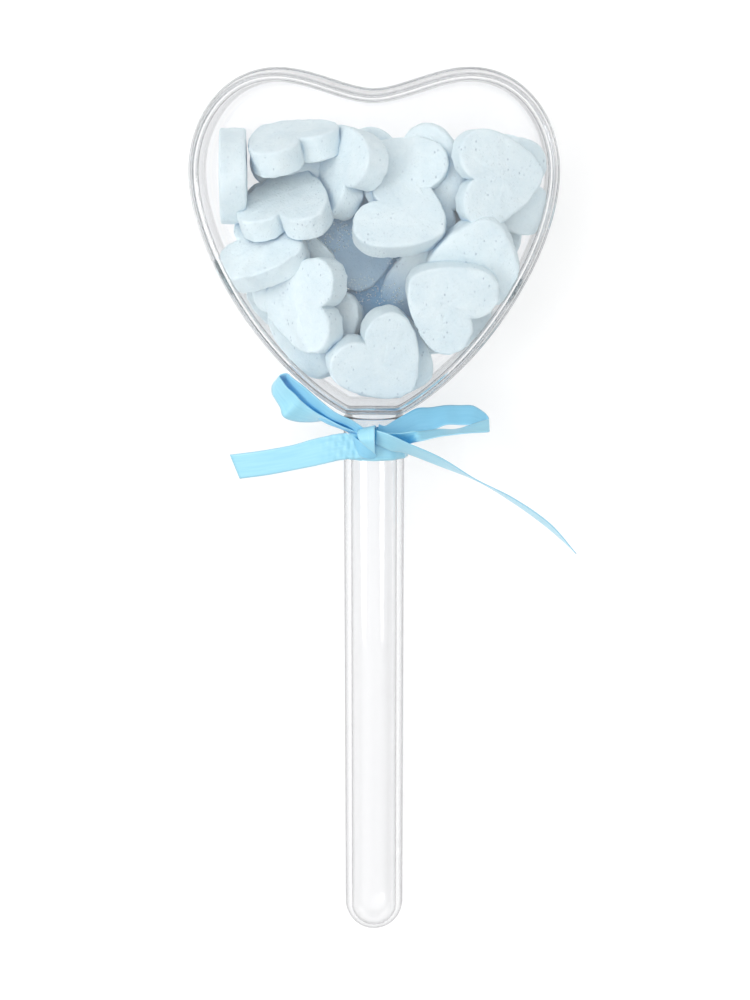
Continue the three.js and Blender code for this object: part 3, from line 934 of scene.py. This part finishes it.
# A ribbon along its stations: points go from one edge to the other, about the line midway between the edges
# and no wider than the ribbon, pushed out by a shape of the distance travelled and the place across, which
# runs from -1 to 1. Both faces stand off by half the thickness, and a cap closes each end.
def addStrip(name, stations, shinyOver, shape=None):
    s = ribbon
    edges = [throughPoints([pair[side] for pair in stations], s["perStation"]) for side in (0, 1)]
    centre = (edges[0] + edges[1]) / 2
    half = (edges[1] - edges[0]) / 2
    half = half * np.minimum(1, s["width"] / 2 / np.linalg.norm(half, axis=1, keepdims=True))
    place = np.linspace(-1, 1, s["across"])[None, :, None]
    sheet = centre[:, None, :] + half[:, None, :] * place
    along = np.gradient(sheet, axis=0)
    normal = np.cross(np.gradient(sheet, axis=1), along)
    normal /= np.linalg.norm(normal, axis=2, keepdims=True)
    travelled = np.concatenate([[0], np.cumsum(np.linalg.norm(np.diff(centre, axis=0), axis=1))])
    if shape is not None:
        sheet = sheet + normal * shape(travelled[:, None], place[..., 0])[..., None]
    over = sheet + normal * s["thickness"] / 2
    under = sheet - normal * s["thickness"] / 2
    grid = np.concatenate([over, under[:, ::-1]], 1)
    rows, around = grid.shape[:2]
    quads = gridFaces(rows, around, closedColumns=True)
    column = np.arange(s["across"] - 1)
    cap = np.stack([column, around - 1 - column, around - 2 - column, column + 1], -1)
    caps = np.vstack([cap, cap[:, ::-1] + (rows - 1) * around])
    side = np.concatenate([(place[0, :, 0] + 1) / 2, (3 - place[0, ::-1, 0]) / 2])
    side = side if shinyOver else 2 - side
    addRibbon(name, grid, [quads, caps], travelled[:, None] / s["width"], side[None, :])


# The map holds the ribbon widths along it and the place across.
def addRibbon(name, grid, groups, along, across):
    uv = np.stack(np.broadcast_arrays(along, across), -1).reshape(-1, 2)
    addPiece(name, grid, groups, ribbonSatin, ["ribbon_bow"], uv)


# A closed band of ribbon round the handle, with its section turned about the handle's axis. A cosine of the
# angle lifts it into upright creases, and a slower sine in the cosine sets them unevenly.
def addBand():
    s = band
    along = np.linspace(s["bottom"], s["top"], s["across"])
    turn = np.linspace(0, 2 * math.pi, s["around"], endpoint=False)
    half = ribbon["thickness"] / 2
    radius = s["radius"] + s["creaseHeight"] * (1 + np.cos(s["creases"] * turn + np.sin(3 * turn))) / 2
    section = np.vstack([
        np.column_stack([np.full(len(along), half), along]),
        np.column_stack([np.full(len(along), -half), along[::-1]]),
    ])
    grid = aroundHandle(section[:, :1] + radius, section[:, 1:], turn)
    quads = gridFaces(*grid.shape[:2], closedRows=True, closedColumns=True)
    across = np.concatenate([np.linspace(0, 1, s["across"]), np.linspace(2, 1, s["across"])])
    addRibbon("ribbon_band", grid, [quads], turn[None, :] * s["radius"] / ribbon["width"], across[:, None])


# The crumple beside the knot: a level less shares of the absolute values of three sine waves, askew of the
# ribbon, which makes sharp creases. It rises in a straight line and dies away with the distance, as the
# exponential of the distance's fourth power.
def crumpled(travelled, across):
    s = crumple
    waves = s["level"]
    for alongPace, acrossPace, phase, share in s["waves"]:
        waves = waves - share * np.abs(np.sin(alongPace * travelled + acrossPace * across + phase))
    rise = np.clip((travelled - s["start"]) / s["rise"], 0, 1)
    return s["height"] * waves * rise * np.exp(-(travelled / s["reach"]) ** 4)


def addBow():
    addBand()
    addStrip("ribbon_left_loop", leftLoop, True)
    addStrip("ribbon_right_loop", rightLoop, False)
    addStrip("ribbon_right_tail", rightTail, True)
    addStrip("ribbon_left_tail", leftTail, False, crumpled)
    addStrip("ribbon_knot", knotWrap, False)
    addStrip("ribbon_knot_under", knotUnder, False)


addBow()


# Floor and light

# One square below the wand, whose glow fades smoothly with the distance from its centre.
def addFloor():
    s = studio
    half, height = s["floorSize"] / 2, s["floorHeight"]
    corners = [(-half, -half, height), (half, -half, height), (half, half, height), (-half, half, height)]
    mesh = bpy.data.meshes.new("floor")
    mesh.from_pydata(corners, [], [(0, 1, 2, 3)])
    floor = bpy.data.objects.new("floor", mesh)
    floor.location = (*s["floorCentre"], 0)
    bpy.context.scene.collection.objects.link(floor)
    finish = newFinish("floor")
    away = finish.vector("LENGTH", finish.objectPlace(), out=1)
    fade = finish.span(away, *s["glowTo"], how="SMOOTHSTEP")
    mesh.materials.append(finish.shade({
        "Base Color": s["floorColour"],
        "Roughness": s["floorRoughness"],
        "Specular IOR Level": 0.0,
        "Emission Color": finish.blend(fade, white, black),
        "Emission Strength": s["glow"],
    }))


# The sky's light grows with the height of the direction, and a wide soft light is added where the direction's
# product with the way to it is high. A round lamp gives the small gleams.
def addLight():
    s = studio
    world = bpy.data.worlds.new("studio")
    bpy.context.scene.world = world
    finish = Finish(world)
    direction = finish.node("ShaderNodeTexCoord")
    height = finish.part(direction, 2)
    around = finish.span(height, *s["horizonTo"], s["horizon"], s["overhead"], "SMOOTHSTEP")
    facing = finish.vector("DOT_PRODUCT", direction, Vector(s["softFrom"]).normalized(), 1)
    strength = around + finish.span(facing, *s["softTo"], 0.0, s["soft"], "SMOOTHSTEP")
    sky = finish.node("ShaderNodeBackground", {}, {"Color": white, "Strength": strength})
    finish.node("ShaderNodeOutputWorld", {}, {"Surface": sky})
    key = bpy.data.lights.new("key", "AREA")
    key.shape = "DISK"
    key.size = s["keySize"]
    key.energy = s["keyPower"]
    lamp = bpy.data.objects.new("key", key)
    bpy.context.scene.collection.objects.link(lamp)
    lamp.location = s["keyAt"]
    toAim = Vector(s["keyAim"]) - Vector(s["keyAt"])
    lamp.rotation_euler = toAim.to_track_quat("-Z", "Y").to_euler()
    bpy.context.scene.view_settings.view_transform = "Standard"
    cycles = bpy.context.scene.cycles
    cycles.blur_glossy = 0.0  # or clear plastic shades what lies inside it
    cycles.max_bounces = s["bounces"]
    cycles.transmission_bounces = s["bounces"]
    cycles.glossy_bounces = s["glossyBounces"]


addFloor()
addLight()
print("floor and light set")
